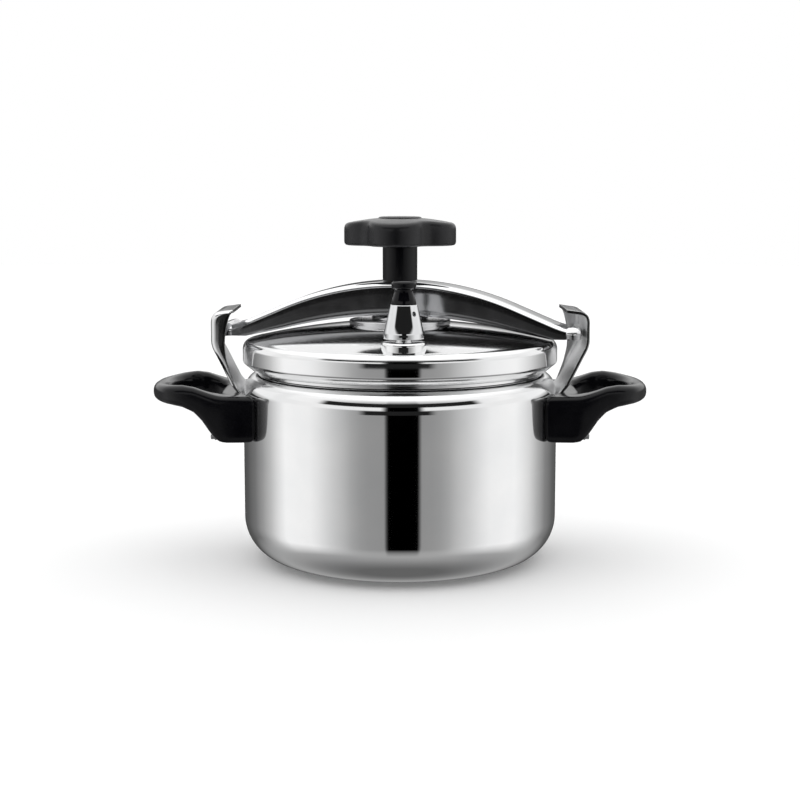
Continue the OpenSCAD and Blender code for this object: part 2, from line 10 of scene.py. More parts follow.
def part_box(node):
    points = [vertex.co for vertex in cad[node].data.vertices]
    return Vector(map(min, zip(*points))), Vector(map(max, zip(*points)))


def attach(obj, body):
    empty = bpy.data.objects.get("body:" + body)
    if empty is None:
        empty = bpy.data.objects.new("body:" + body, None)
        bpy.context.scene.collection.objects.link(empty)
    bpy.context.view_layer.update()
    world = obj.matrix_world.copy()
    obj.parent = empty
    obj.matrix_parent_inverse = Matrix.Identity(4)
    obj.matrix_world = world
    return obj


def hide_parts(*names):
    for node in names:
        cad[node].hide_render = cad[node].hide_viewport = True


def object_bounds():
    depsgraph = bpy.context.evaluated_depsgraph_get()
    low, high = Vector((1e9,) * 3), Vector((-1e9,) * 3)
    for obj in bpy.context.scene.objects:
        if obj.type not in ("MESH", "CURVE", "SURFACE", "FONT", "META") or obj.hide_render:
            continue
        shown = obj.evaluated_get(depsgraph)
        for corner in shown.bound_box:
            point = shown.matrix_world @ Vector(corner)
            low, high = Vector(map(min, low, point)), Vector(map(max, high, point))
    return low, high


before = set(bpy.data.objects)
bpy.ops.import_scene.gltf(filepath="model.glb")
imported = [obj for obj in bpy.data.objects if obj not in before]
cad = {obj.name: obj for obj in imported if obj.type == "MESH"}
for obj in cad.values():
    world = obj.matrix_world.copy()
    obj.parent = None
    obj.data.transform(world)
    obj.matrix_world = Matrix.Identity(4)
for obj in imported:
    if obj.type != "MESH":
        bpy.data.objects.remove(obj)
cad_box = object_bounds()
mm = 0.001

# ---- Pot ---------------------------------------------------------------------------------
# One spun aluminium shell with a rounded base, a shoulder, a neck and a thin rim bead.
# It is turned and polished outside, and duller inside and round the neck.
pot_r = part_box("pot")[1].x
rim_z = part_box("pot")[1].z
pot_wall = 2.5 * mm
base_t = 4 * mm
flat_r = 80 * mm
corner_h = 30.5 * mm
neck_r = pot_r - 10.5 * mm
shoulder_h = 15.4 * mm
wall_top = rim_z - 14 * mm - shoulder_h
draw_line_z = 70 * mm
draw_line_in = 0.035 * mm


def arc(centre, radii, start, end, steps):
    """Points along an ellipse in the plane of an outline, from one angle to another."""
    turns = [math.radians(start + (end - start) * i / steps) for i in range(steps + 1)]
    return [(centre[0] + radii[0] * math.cos(a), centre[1] + radii[1] * math.sin(a)) for a in turns]


def eased(corners, steps=4):
    """An outline whose corners, given as (radius, height, ease), are rounded by their ease."""
    out = [corners[0][:2]]
    for before, corner, after in zip(corners, corners[1:], corners[2:]):
        here = Vector(corner[:2])
        if corner[2] == 0:
            out.append(tuple(here))
            continue
        back, on = Vector(before[:2]) - here, Vector(after[:2]) - here
        reach = min(corner[2], 0.45 * back.length, 0.45 * on.length)
        first, last = here + back.normalized() * reach, here + on.normalized() * reach
        for i in range(steps + 1):
            t = i / steps
            out.append(tuple(first.lerp(here, t).lerp(here.lerp(last, t), t)))
    out.append(corners[-1][:2])
    return out


def turned(outline, centre=(0, 0), steps=192, closed=False):
    """A bmesh spun about Z from an outline of (radius, height) points."""
    bm = bmesh.new()
    points = [bm.verts.new((r, 0, z)) for r, z in outline]
    edges = [bm.edges.new(pair) for pair in zip(points, points[1:])]
    if closed:
        edges.append(bm.edges.new((points[-1], points[0])))
    bmesh.ops.spin(
        bm, geom=points + edges, cent=(0, 0, 0), axis=(0, 0, 1), angle=math.tau, steps=steps, use_merge=True
    )
    bmesh.ops.remove_doubles(bm, verts=bm.verts, dist=1e-6)
    bmesh.ops.recalc_face_normals(bm, faces=bm.faces)
    bmesh.ops.translate(bm, verts=bm.verts, vec=(centre[0], centre[1], 0))
    return bm


def add_piece(name, bm, finish, body, replaced, sharp=32):
    """Makes the finished bmesh an object that rides on its CAD body in place of a CAD node."""
    mesh = bpy.data.meshes.new(name)
    bm.to_mesh(mesh)
    bm.free()
    mesh.shade_smooth()
    mesh.set_sharp_from_angle(angle=math.radians(sharp))
    mesh.materials.append(finish)
    obj = bpy.data.objects.new(name, mesh)
    bpy.context.scene.collection.objects.link(obj)
    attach(obj, body)
    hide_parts(replaced)
    return obj


def new_finish(name, metallic, roughness):
    """A material whose shader has its fixed numbers set, with the tools to add pattern to it."""
    finish = bpy.data.materials.new(name)
    finish.use_nodes = True
    shader = finish.node_tree.nodes["Principled BSDF"]
    shader.inputs["Metallic"].default_value = metallic
    shader.inputs["Roughness"].default_value = roughness
    return finish, finish.node_tree, shader


def grain(tree, where, scale, detail=3):
    """Noise over a point, as a value from 0 to 1."""
    noise = tree.nodes.new("ShaderNodeTexNoise")
    noise.inputs["Scale"].default_value = scale
    noise.inputs["Detail"].default_value = detail
    tree.links.new(where, noise.inputs["Vector"])
    return noise.outputs["Fac"]


def spread(tree, value, low, high, start=0.3, end=0.7):
    """Stretches a value between two ends, which are both numbers or both colours."""
    ramp = tree.nodes.new("ShaderNodeValToRGB")
    ramp.color_ramp.elements[0].position = start
    ramp.color_ramp.elements[1].position = end
    for stop, level in zip(ramp.color_ramp.elements, (low, high)):
        stop.color = (level, level, level, 1) if isinstance(level, float) else (*level, 1)
    tree.links.new(value, ramp.inputs["Fac"])
    return ramp.outputs["Color"]


def object_place(tree, stretch=(1, 1, 1)):
    """The point on the piece, stretched along its axes."""
    place = tree.nodes.new("ShaderNodeTexCoord").outputs["Object"]
    if stretch == (1, 1, 1):
        return place
    mapping = tree.nodes.new("ShaderNodeMapping")
    mapping.inputs["Scale"].default_value = stretch
    tree.links.new(place, mapping.inputs["Vector"])
    return mapping.outputs["Vector"]


def lathe_place(tree, centre=(0, 0)):
    """The point by its distance from a lathe's centre and its height, so grain runs in rings."""
    place = tree.nodes.new("ShaderNodeTexCoord").outputs["Object"]
    shift = tree.nodes.new("ShaderNodeMapping")
    shift.inputs["Location"].default_value = (-centre[0], -centre[1], 0)
    split = tree.nodes.new("ShaderNodeSeparateXYZ")
    flat = tree.nodes.new("ShaderNodeCombineXYZ")
    radius = tree.nodes.new("ShaderNodeVectorMath")
    radius.operation = "LENGTH"
    rings = tree.nodes.new("ShaderNodeCombineXYZ")
    tree.links.new(place, shift.inputs["Vector"])
    tree.links.new(shift.outputs["Vector"], split.inputs["Vector"])
    tree.links.new(split.outputs["X"], flat.inputs["X"])
    tree.links.new(split.outputs["Y"], flat.inputs["Y"])
    tree.links.new(flat.outputs["Vector"], radius.inputs[0])
    tree.links.new(radius.outputs["Value"], rings.inputs["X"])
    tree.links.new(split.outputs["Z"], rings.inputs["Z"])
    return rings.outputs["Vector"]


def duller_where(obj, finish, chosen):
    """Gives a second finish to the faces that a test picks out."""
    obj.data.materials.append(finish)
    for face in obj.data.polygons:
        face.material_index = int(chosen(face))


def raise_grain(tree, shader, height, depth):
    """Lifts the surface by a value, so that it catches the light."""
    bump = tree.nodes.new("ShaderNodeBump")
    bump.inputs["Distance"].default_value = depth
    bump.inputs["Strength"].default_value = 1.0
    tree.links.new(height, bump.inputs["Height"])
    tree.links.new(bump.outputs["Normal"], shader.inputs["Normal"])


def metal_finish(name, tones, roughness, ring_scale=0, centre=(0, 0), depth=0.0):
    """A metal with a faint cloudiness, and turning rings in its gloss where it was on a lathe."""
    finish, tree, shader = new_finish(name, 1.0, roughness[0])
    clouds = grain(tree, object_place(tree), 35)
    tree.links.new(spread(tree, clouds, *tones), shader.inputs["Base Color"])
    where = lathe_place(tree, centre) if ring_scale else object_place(tree)
    rings = grain(tree, where, ring_scale or 90, 2)
    tree.links.new(spread(tree, rings, *roughness), shader.inputs["Roughness"])
    if depth:
        raise_grain(tree, shader, rings, depth)
    return finish


pot_aluminium = metal_finish(
    "pot_aluminium", ((0.88, 0.885, 0.89), (0.93, 0.93, 0.93)), (0.04, 0.06), 1400
)
inner_r = pot_r - pot_wall
inner_neck_r = neck_r - pot_wall
pot_outline = (
    [(0, 0)]
    + arc((flat_r, corner_h), (pot_r - flat_r, corner_h), -90, 0, 24)
    + [
        (pot_r, draw_line_z - 2 * mm),
        (pot_r - 0.1 * draw_line_in, draw_line_z - 1.2 * mm),
        (pot_r - 0.9 * draw_line_in, draw_line_z - 0.4 * mm),
        (pot_r - draw_line_in, draw_line_z + 0.4 * mm),
        (pot_r - draw_line_in, draw_line_z + 1.2 * mm),
    ]
    + arc((neck_r, wall_top), (pot_r - draw_line_in - neck_r, shoulder_h), 0, 88, 18)
    + eased(
        [
            (neck_r, rim_z - 13.6 * mm, 0),
            (neck_r, rim_z - 3 * mm, 0.5 * mm),
            (neck_r + 1.5 * mm, rim_z - 2.3 * mm, 0.5 * mm),
            (neck_r + 1.5 * mm, rim_z, 0.8 * mm),
            (inner_neck_r, rim_z, 0.6 * mm),
            (inner_neck_r, wall_top + shoulder_h - pot_wall, 0),
        ]
    )
    + arc((neck_r, wall_top), (inner_r - neck_r, shoulder_h - pot_wall), 80, 0, 10)
    + arc((flat_r, corner_h), (inner_r - flat_r, corner_h - base_t), 0, -90, 16)
    + [(0, base_t)]
)
pot_shell = add_piece("pot_shell", turned(pot_outline), pot_aluminium, "pot_body", "pot")
pot_satin = metal_finish("pot_satin", ((0.82, 0.825, 0.83), (0.88, 0.88, 0.88)), (0.14, 0.19), 1400)
pot_middle = Vector((0, 0, 0.5 * wall_top))
neck_start = wall_top + 0.6 * shoulder_h
duller_where(
    pot_shell,
    pot_satin,
    lambda face: face.normal.dot(face.center - pot_middle) < 0 or face.center.z > neck_start,
)

# ---- Lid ---------------------------------------------------------------------------------
# A pressed aluminium lid with a shallow dome, a polished upright band and a lip that reaches in
# under the band. A boss at its front carries the vent, a flat seat at its back the safety valve.
lid_low, lid_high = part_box("lid")
lip_z = lid_low.z
dome_top = lid_high.z
dome_r = 450 * mm
lid_wall = 3 * mm
band_z = lip_z + 5.6 * mm
band_top = band_z + 8.8 * mm
crown_in = 4.5 * mm
crown_h = 6 * mm
lip_r = neck_r + 2 * mm
ceiling_z = rim_z + 4.1 * mm
seat_r = 14.7 * mm
seat_dist = 88 * mm
seat_ease = 2.4 * mm
seat_room = 0.5 * mm
fitting_bore_r = 4.2 * mm


def dome_z(radius):
    """Height of the lid's dome at a distance from its middle."""
    return dome_top - radius * radius / (2 * dome_r)


def around(turn, distance):
    """The point on the lid at an angle and a distance from its middle."""
    a = math.radians(turn)
    return (distance * math.cos(a), distance * math.sin(a))


def combined(bm, tool, how):
    """One bmesh cut by, or joined with, another."""
    objects = []
    for part in (bm, tool):
        mesh = bpy.data.meshes.new("stock")
        part.to_mesh(mesh)
        part.free()
        objects.append(bpy.data.objects.new("stock", mesh))
        bpy.context.scene.collection.objects.link(objects[-1])
    cut = objects[0].modifiers.new("cut", "BOOLEAN")
    cut.operation = how
    cut.solver = "EXACT"
    cut.object = objects[1]
    solved = objects[0].evaluated_get(bpy.context.evaluated_depsgraph_get())
    out = bmesh.new()
    out.from_mesh(solved.to_mesh())
    bmesh.ops.remove_doubles(out, verts=out.verts, dist=0.002 * mm)
    for spent in objects:
        bpy.data.objects.remove(spent)
    return out


def cylinder(centre, radius, low, high, steps=96):
    """A round bar that stands upright between two heights."""
    bm = bmesh.new()
    bmesh.ops.create_cone(
        bm, cap_ends=True, segments=steps, radius1=radius, radius2=radius, depth=high - low
    )
    bmesh.ops.translate(bm, verts=bm.verts, vec=(centre[0], centre[1], (low + high) / 2))
    return bm


valve_at = around(-88.4, seat_dist)
safety_at = around(90, seat_dist)
seat_z = dome_z(seat_dist) - 0.8 * mm
boss_z = seat_z + 4 * mm
crown_r = pot_r - crown_in
flat_in = neck_r - 10 * mm
dome_steps = 26
dome_radii = [crown_r * (1 - i / dome_steps) for i in range(1, dome_steps + 1)]
under_radii = [flat_in * i / dome_steps for i in range(dome_steps)]
lid_outline = (
    eased(
        [
            (pot_r - lid_wall, band_z + 1.5 * mm, 0),
            (lip_r, lip_z + 3 * mm, 0.4 * mm),
            (lip_r, lip_z, 0.3 * mm),
            (lip_r + 1.5 * mm, lip_z, 0.5 * mm),
            (pot_r - 0.6 * mm, band_z - 0.4 * mm, 0.8 * mm),
            (pot_r, band_z + 0.6 * mm, 0.5 * mm),
            (pot_r, band_top, 0),
        ]
    )
    + arc((crown_r, band_top), (crown_in, crown_h), 8, 90, 10)
    + [(r, dome_z(r)) for r in dome_radii]
    + [(r, dome_z(r) - lid_wall) for r in under_radii]
    + [(flat_in, ceiling_z), (pot_r - lid_wall, ceiling_z)]
)
lid = turned(lid_outline, closed=True)
lid = combined(lid, cylinder(safety_at, seat_r + seat_room, seat_z, seat_z + 20 * mm), "DIFFERENCE")
seats = ((valve_at, boss_z), (safety_at, seat_z))
for seat_at, top in seats:
    foot = ceiling_z + 0.6 * mm
    side = [(0, foot, 0), (seat_r, foot, 0), (seat_r, top, seat_ease), (0, top, 0)]
    lid = combined(lid, turned(eased(side), seat_at, 96), "UNION")
for seat_at, top in seats:
    lid = combined(lid, cylinder(seat_at, fitting_bore_r, lip_z, top + 10 * mm), "DIFFERENCE")
lid_aluminium = metal_finish(
    "lid_aluminium", ((0.9, 0.905, 0.91), (0.94, 0.94, 0.94)), (0.05, 0.07), 1500
)
lid_shell = add_piece("lid_shell", lid, lid_aluminium, "lid_body", "lid")
lid_satin = metal_finish("lid_satin", ((0.88, 0.885, 0.89), (0.92, 0.92, 0.92)), (0.075, 0.1), 1500)
duller_where(lid_shell, lid_satin, lambda face: abs(face.normal.z) > 0.12)

# ---- Sealing ring ------------------------------------------------------------------------
# A flat black rubber ring that lies under the lid's edge and seals on the pot's rim.
def rubber_finish(name, tones, roughness):
    """Rubber or matt plastic: a dark tone with fine mottling and a soft grain."""
    finish, tree, shader = new_finish(name, 0.0, roughness)
    mottle = grain(tree, object_place(tree), 160, 4)
    tree.links.new(spread(tree, mottle, *tones), shader.inputs["Base Color"])
    raise_grain(tree, shader, mottle, 0.03 * mm)
    return finish


def refinish(finish, *names):
    """Gives CAD nodes their finish."""
    for name in names:
        cad[name].data.materials.clear()
        cad[name].data.materials.append(finish)


gasket_rubber = rubber_finish("gasket_rubber", ((0.018, 0.018, 0.02), (0.035, 0.035, 0.037)), 0.55)
refinish(gasket_rubber, "lid_gasket", "vent_washer", "safety_seal")

# ---- Centre disc -------------------------------------------------------------------------
# A satin steel disc that takes the push of the screw's foot. Four flush aluminium rivets
# hold it on the lid's dome.
disc_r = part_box("center_disc")[1].x
disc_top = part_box("center_disc")[1].z
disc_outline = (
    [(disc_r * i / 8, dome_z(disc_r * i / 8)) for i in range(8)]
    + eased(
        [
            (disc_r, dome_z(disc_r), 0),
            (disc_r, disc_top, 1 * mm),
            (disc_r - 2.4 * mm, disc_top, 0.3 * mm),
            (disc_r - 3 * mm, disc_top - 0.5 * mm, 0.2 * mm),
            (disc_r - 4 * mm, disc_top - 0.5 * mm, 0.2 * mm),
            (disc_r - 4.6 * mm, disc_top, 0.3 * mm),
            (0, disc_top, 0),
        ]
    )
)
disc_steel = metal_finish(
    "disc_steel", ((0.6, 0.6, 0.61), (0.72, 0.72, 0.73)), (0.22, 0.3), 2600, depth=0.01 * mm
)
add_piece("disc_plate", turned(disc_outline, steps=144), disc_steel, "lid_body", "center_disc")
refinish(lid_aluminium, "disc_rivets")

# ---- Lugs --------------------------------------------------------------------------------
# Two hooked straps of steel sheet, polished outside and satin inside, riveted to the pot under
# the handles. Each leans out, stands up and folds in over the yoke, with a stop flange.
lug_half_w = 27 * mm
lug_t = 2 * mm
lug_fold = 4.5 * mm
lug_leg_r = pot_r + 0.1 * mm + lug_t
# Outer line of the strap from its foot to its tip, each point with the flange's free edge
lug_line = [
    ((112.1, 95.6), (112.1, 95.6)),
    ((112.1, 108), (112.1, 108)),
    ((112.15, 114), (112.1, 114.4)),
    ((113.1, 117.6), (112.2, 118.4)),
    ((116.5, 124.6), (114.2, 125.6)),
    ((121, 133.6), (117.4, 134.4)),
    ((126, 143.7), (119.6, 143.4)),
    ((128.8, 149.2), (120.2, 148.6)),
    ((130, 154), (120.3, 153.6)),
    ((130, 159), (119.9, 158.2)),
    ((130, 164), (119.2, 162.6)),
    ((129.9, 168.6), (118.4, 166.4)),
    ((128.9, 171.9), (117.7, 169.2)),
    ((127, 174), (117, 171.2)),
    ((124, 175.05), (116.4, 172.6)),
    ((120.5, 175.5), (115.6, 173.8)),
    ((117, 175.95), (114.9, 174.9)),
    ((114.3, 176.3), (114.4, 175.6)),
]


def smooth_line(points, each):
    """Points along a smooth line through the given ones, with some between each pair."""
    ends = [points[0], *points, points[-1]]
    out = []
    for a, b, c, d in zip(ends, ends[1:], ends[2:], ends[3:]):
        for i in range(each):
            t = i / each
            bend = (2 * a - 5 * b + 4 * c - d) * t**2
            out.append(0.5 * (2 * b + (c - a) * t + bend + (3 * b - 3 * c + d - a) * t**3))
    return [*out, points[-1]]


def sheet_of(rows):
    """A bmesh skin over rows of points, with each row bridged to the next."""
    bm = bmesh.new()
    loops = []
    for row in rows:
        points = [bm.verts.new(p) for p in row]
        loops.append([bm.edges.new(pair) for pair in zip(points, points[1:])])
    for first, second in zip(loops, loops[1:]):
        bmesh.ops.bridge_loops(bm, edges=first + second)
    return bm


def turned_about(bm, degrees):
    """Turns a bmesh about the pot's axis."""
    turn = Matrix.Rotation(math.radians(degrees), 3, "Z")
    bmesh.ops.rotate(bm, verts=bm.verts, cent=(0, 0, 0), matrix=turn)
    return bm


def lug_row(outer, free):
    """One line across the strap: flat, then round the fold, then down the stop flange."""
    into = free - outer
    depth = into.length
    into = into.normalized() if depth > 0.2 * mm else Vector((-1, 0))
    fold = min(lug_fold, depth)
    row = []
    for i in range(13):
        row.append((outer.x, -lug_half_w + (2 * lug_half_w - fold) * i / 12, outer.y))
    for i in range(1, 7):
        a = math.pi / 2 * i / 6
        place = outer + into * fold * (1 - math.cos(a))
        row.append((place.x, lug_half_w - fold + fold * math.sin(a), place.y))
    for i in range(1, 4):
        place = outer + into * (fold + (depth - fold) * i / 3)
        row.append((place.x, lug_half_w, place.y))
    return row


def lug_strap(degrees):
    """The whole strap as a sheet 2 mm thick, with its leg curved to the pot's wall."""
    outers = smooth_line([Vector(p) * mm for p, q in lug_line], 3)
    frees = smooth_line([Vector(q) * mm for p, q in lug_line], 3)
    bm = sheet_of([lug_row(p, q) for p, q in zip(outers, frees)])
    for v in bm.verts:
        hug = min(1, max(0, (wall_top + 8 * mm - v.co.z) / (8 * mm)))
        v.co.x -= hug * (lug_leg_r - math.sqrt(lug_leg_r**2 - v.co.y**2))
    bmesh.ops.remove_doubles(bm, verts=bm.verts, dist=0.02 * mm)
    bmesh.ops.recalc_face_normals(bm, faces=bm.faces)
    if sum(f.normal.x for f in bm.faces) < 0:
        bmesh.ops.reverse_faces(bm, faces=bm.faces)
    return turned_about(bm, degrees)


def thicken(obj, thickness, ease, inside=None):
    """Gives a skin its wall on the inside, in a finish of its own, and eases its cut edges."""
    wall = obj.modifiers.new("wall", "SOLIDIFY")
    wall.thickness = thickness
    wall.offset = -1
    if inside:
        obj.data.materials.append(inside)
        wall.material_offset = 1
    soft = obj.modifiers.new("soft edges", "BEVEL")
    soft.width = ease
    soft.segments = 2
    soft.limit_method = "ANGLE"
    soft.angle_limit = math.radians(50)
    return obj


lug_steel = metal_finish("lug_steel", ((0.78, 0.785, 0.79), (0.86, 0.86, 0.865)), (0.1, 0.16))
lug_satin = metal_finish("lug_satin", ((0.82, 0.825, 0.83), (0.9, 0.9, 0.905)), (0.42, 0.5))
for side, degrees in (("right", 0), ("left", 180)):
    strap = add_piece(
        f"{side}_lug_strap", lug_strap(degrees), lug_steel, "pot_body", f"{side}_lug", sharp=50
    )
    thicken(strap, lug_t, 0.4 * mm, lug_satin)
small_steel = metal_finish("small_steel", ((0.55, 0.555, 0.56), (0.66, 0.66, 0.67)), (0.25, 0.36))
refinish(small_steel, "lug_rivets", "handle_bosses", "handle_screws", "handle_washers")

# ---- Handles -----------------------------------------------------------------------------
# Two moulded black phenolic loops. A deep root wraps the pot's wall and is held by two screws,
# and the grip sweeps up and out round an oval finger hole.
handle_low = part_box("right_handle")[0]
screw_y = 38 * mm
screw_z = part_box("handle_screws")[0].z + 4.2 * mm
screw_seat_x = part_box("handle_washers")[1].x - 0.8 * mm
# Points round half of the loop: on its outer edge, and facing them on the finger hole
handle_half = [
    ((172.7, 0), (159.7, 0)),
    ((172.2, 10), (159.3, 8)),
    ((170.2, 21), (157.9, 17)),
    ((165.8, 32), (154.6, 26.4)),
    ((159.5, 41), (149.6, 33)),
    ((150.5, 46.3), (143.6, 35.8)),
    ((138, 48.8), (137.4, 36.2)),
    ((125, 50.6), (132, 35)),
    ((112, 51), (128.6, 32)),
    ((103, 50.9), (127, 30)),
    ((98.4, 50.2), (126, 28)),
    ((99.2, 46), (125.4, 25.5)),
    ((102.4, 38), (125, 21)),
    ((106.5, 24), (125, 13)),
    ((108, 11), (125, 6)),
    ((108.4, 0), (125, 0)),
]
# Underside and top of the moulding by its distance from the pot's axis
handle_depth = [
    (90, 87.6, 119.6),
    (118, 87.6, 119.4),
    (123, 88.4, 119.8),
    (128.5, 94.2, 121.2),
    (134, 102.4, 123),
    (140, 108.4, 125.2),
    (148, 111.6, 126.4),
    (156, 112.6, 125.8),
    (164, 112.9, 125.0),
    (180, 113.1, 124.6),
]


def between(table, x, column):
    """Reads a column of a table of depths at a distance, in a straight line between its rows."""
    for low, high in zip(table, table[1:]):
        if x <= high[0]:
            t = max(0, (x - low[0]) / (high[0] - low[0]))
            return low[column] + (high[column] - low[column]) * t
    return table[-1][column]


def handle_section(outer, inner, square):
    """A closed rounded section of the loop between the hole and the outer edge."""
    row = []
    for i in range(40):
        a = math.tau * i / 40
        u = math.copysign(abs(math.cos(a)) ** (2 / square), math.cos(a))
        v = math.copysign(abs(math.sin(a)) ** (2 / square), math.sin(a))
        place = inner.lerp(outer, (u + 1) / 2)
        low = between(handle_depth, place.x / mm, 1) * mm
        high = between(handle_depth, place.x / mm, 2) * mm
        row.append((place.x, place.y, (low + high) / 2 + v * (high - low) / 2))
    return row


def bridged_ring(rows):
    """A closed skin over closed sections that run round in a loop."""
    bm = bmesh.new()
    loops = []
    for row in rows:
        points = [bm.verts.new(p) for p in row]
        loops.append([bm.edges.new(pair) for pair in zip(points, points[1:] + points[:1])])
    for first, second in zip(loops, loops[1:] + loops[:1]):
        bmesh.ops.bridge_loops(bm, edges=first + second)
    bmesh.ops.recalc_face_normals(bm, faces=bm.faces)
    return bm


def handle_moulding(degrees):
    """The loop, cut to sit on the pot's wall, over the lug's leg and round its screws."""
    half = [(Vector(p) * mm, Vector(q) * mm) for p, q in handle_half]
    back = [(Vector((p.x, -p.y)), Vector((q.x, -q.y))) for p, q in half[-2:0:-1]]
    loop = half + back
    loop = loop[-2:] + loop + loop[:2]
    outers = smooth_line([p for p, q in loop], 6)[12:-12]
    inners = smooth_line([q for p, q in loop], 6)[12:-12]
    rows = []
    for outer, inner in zip(outers, inners):
        root = min(1, max(0, (150 * mm - outer.x) / (35 * mm)))
        rows.append(handle_section(outer, inner, 2.5 + 3.5 * root))
    bm = bridged_ring(rows)
    bmesh.ops.smooth_vert(bm, verts=bm.verts, factor=0.5, use_axis_x=True, use_axis_y=True, use_axis_z=True)
    bm = combined(bm, cylinder((0, 0), pot_r + 0.15 * mm, 0, 0.3, 192), "DIFFERENCE")
    pocket = cylinder((0, 0), lug_leg_r + 2 * mm, handle_low.z + 7 * mm, 0.3, 192)
    side = bmesh.new()
    bmesh.ops.create_cube(side, size=1)
    bmesh.ops.scale(side, verts=side.verts, vec=(0.4, 2 * lug_half_w + 1 * mm, 0.6))
    bm = combined(bm, combined(pocket, side, "INTERSECT"), "DIFFERENCE")
    for y in (-screw_y, screw_y):
        stud_x = pot_r + 6.1 * mm
        for radius, low, high in (
            (5.1 * mm, 90 * mm, stud_x),
            (2.3 * mm, 110 * mm, 130 * mm),
            (5.2 * mm, screw_seat_x, 150 * mm),
        ):
            bore = cylinder((0, 0), radius, low, high, 48)
            laid_down = Matrix.Rotation(math.pi / 2, 3, "Y")
            bmesh.ops.rotate(bore, verts=bore.verts, cent=(0, 0, 0), matrix=laid_down)
            bmesh.ops.translate(bore, verts=bore.verts, vec=(0, y, screw_z))
            bm = combined(bm, bore, "DIFFERENCE")
    return turned_about(bm, degrees)


def moulded_finish(name, tones, roughness, depth, shine=0.22):
    """Hard black moulded plastic: almost even, with a slightly orange-peel gloss."""
    finish, tree, shader = new_finish(name, 0.0, roughness[0])
    shader.inputs["Specular IOR Level"].default_value = shine
    mottle = grain(tree, object_place(tree), 60)
    peel = grain(tree, object_place(tree), 420, 1)
    tree.links.new(spread(tree, mottle, *tones), shader.inputs["Base Color"])
    tree.links.new(spread(tree, mottle, *roughness), shader.inputs["Roughness"])
    raise_grain(tree, shader, peel, depth)
    return finish


jet_black = ((0.002, 0.002, 0.003), (0.005, 0.005, 0.006))
peel_depth = 0.01 * mm
handle_black = moulded_finish("handle_black", jet_black, (0.12, 0.17), peel_depth)
for side, degrees in (("right", 0), ("left", 180)):
    loop = handle_moulding(degrees)
    add_piece(f"{side}_handle_loop", loop, handle_black, "pot_body", f"{side}_handle", 40)

# ---- Weight on its vent ------------------------------------------------------------------
# A chromed weight with a jet hole sits on a short steel vent pipe, and carries a black
# waisted cap to lift it by. The pipe is held through the lid by a nut and a washer.
weight_low, weight_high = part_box("valve_weight")
weight_z = weight_low.z
weight_top = weight_high.z
weight_r = 13.3 * mm
weight_top_r = 8.6 * mm
cap_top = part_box("valve_cap")[1].z
weight_outline = eased(
    [
        (0, weight_z + 11 * mm, 0),
        (5.8 * mm, weight_z + 11 * mm, 0),
        (5.8 * mm, weight_z, 0.4 * mm),
        (weight_r, weight_z, 0.6 * mm),
        (weight_r - 0.1 * mm, weight_z + 3.4 * mm, 0.6 * mm),
        (weight_top_r, weight_top, 0.5 * mm),
        (0, weight_top, 0),
    ]
)
weight = turned(weight_outline, valve_at, 96)
jet_r = 1.6 * mm
jet_turn = 40 - 88.4
jet_z = weight_z + 16.4 * mm
jet = cylinder((0, 0), jet_r, 0, 30 * mm, 32)
bmesh.ops.rotate(jet, verts=jet.verts, cent=(0, 0, 0), matrix=Matrix.Rotation(math.pi / 2, 3, "Y"))
turned_about(jet, jet_turn)
bmesh.ops.translate(jet, verts=jet.verts, vec=(*valve_at, jet_z))
weight = combined(weight, jet, "DIFFERENCE")
weight_chrome = metal_finish(
    "weight_chrome", ((0.78, 0.785, 0.8), (0.84, 0.845, 0.85)), (0.03, 0.045), 1800, valve_at
)
add_piece("weight_cone", weight, weight_chrome, "weight_body", "valve_weight")
cap_outline = eased(
    [
        (0, weight_top, 0),
        (weight_top_r - 0.4 * mm, weight_top, 0.5 * mm),
        (weight_top_r - 0.9 * mm, weight_top + 3 * mm, 1.2 * mm),
        (5.8 * mm, weight_top + 8.5 * mm, 2.5 * mm),
        (6.1 * mm, cap_top - 6 * mm, 1.2 * mm),
        (8.1 * mm, cap_top - 4.6 * mm, 1.6 * mm),
        (8 * mm, cap_top - 1.2 * mm, 2.2 * mm),
        (5 * mm, cap_top - 0.1 * mm, 1.5 * mm),
        (0, cap_top, 0),
    ]
)
cap_black = moulded_finish("cap_black", jet_black, (0.08, 0.12), peel_depth)
add_piece("weight_cap", turned(cap_outline, valve_at, 96), cap_black, "weight_body", "valve_cap")
bright_steel = metal_finish(
    "bright_steel", ((0.74, 0.745, 0.75), (0.82, 0.82, 0.825)), (0.12, 0.18), 2400, valve_at
)
refinish(bright_steel, "vent_pipe", "vent_nut", "vent_filter", "valve_needle")

# ---- Safety valve ------------------------------------------------------------------------
# A small spring-loaded brass pin in a steel body at the back of the lid lets the pressure
# out if the vent is blocked.
brass = metal_finish("brass", ((0.62, 0.43, 0.18), (0.72, 0.52, 0.24)), (0.2, 0.28), 2200, safety_at)
refinish(bright_steel, "safety_body", "safety_nut")
refinish(brass, "safety_pin")
refinish(small_steel, "safety_spring")

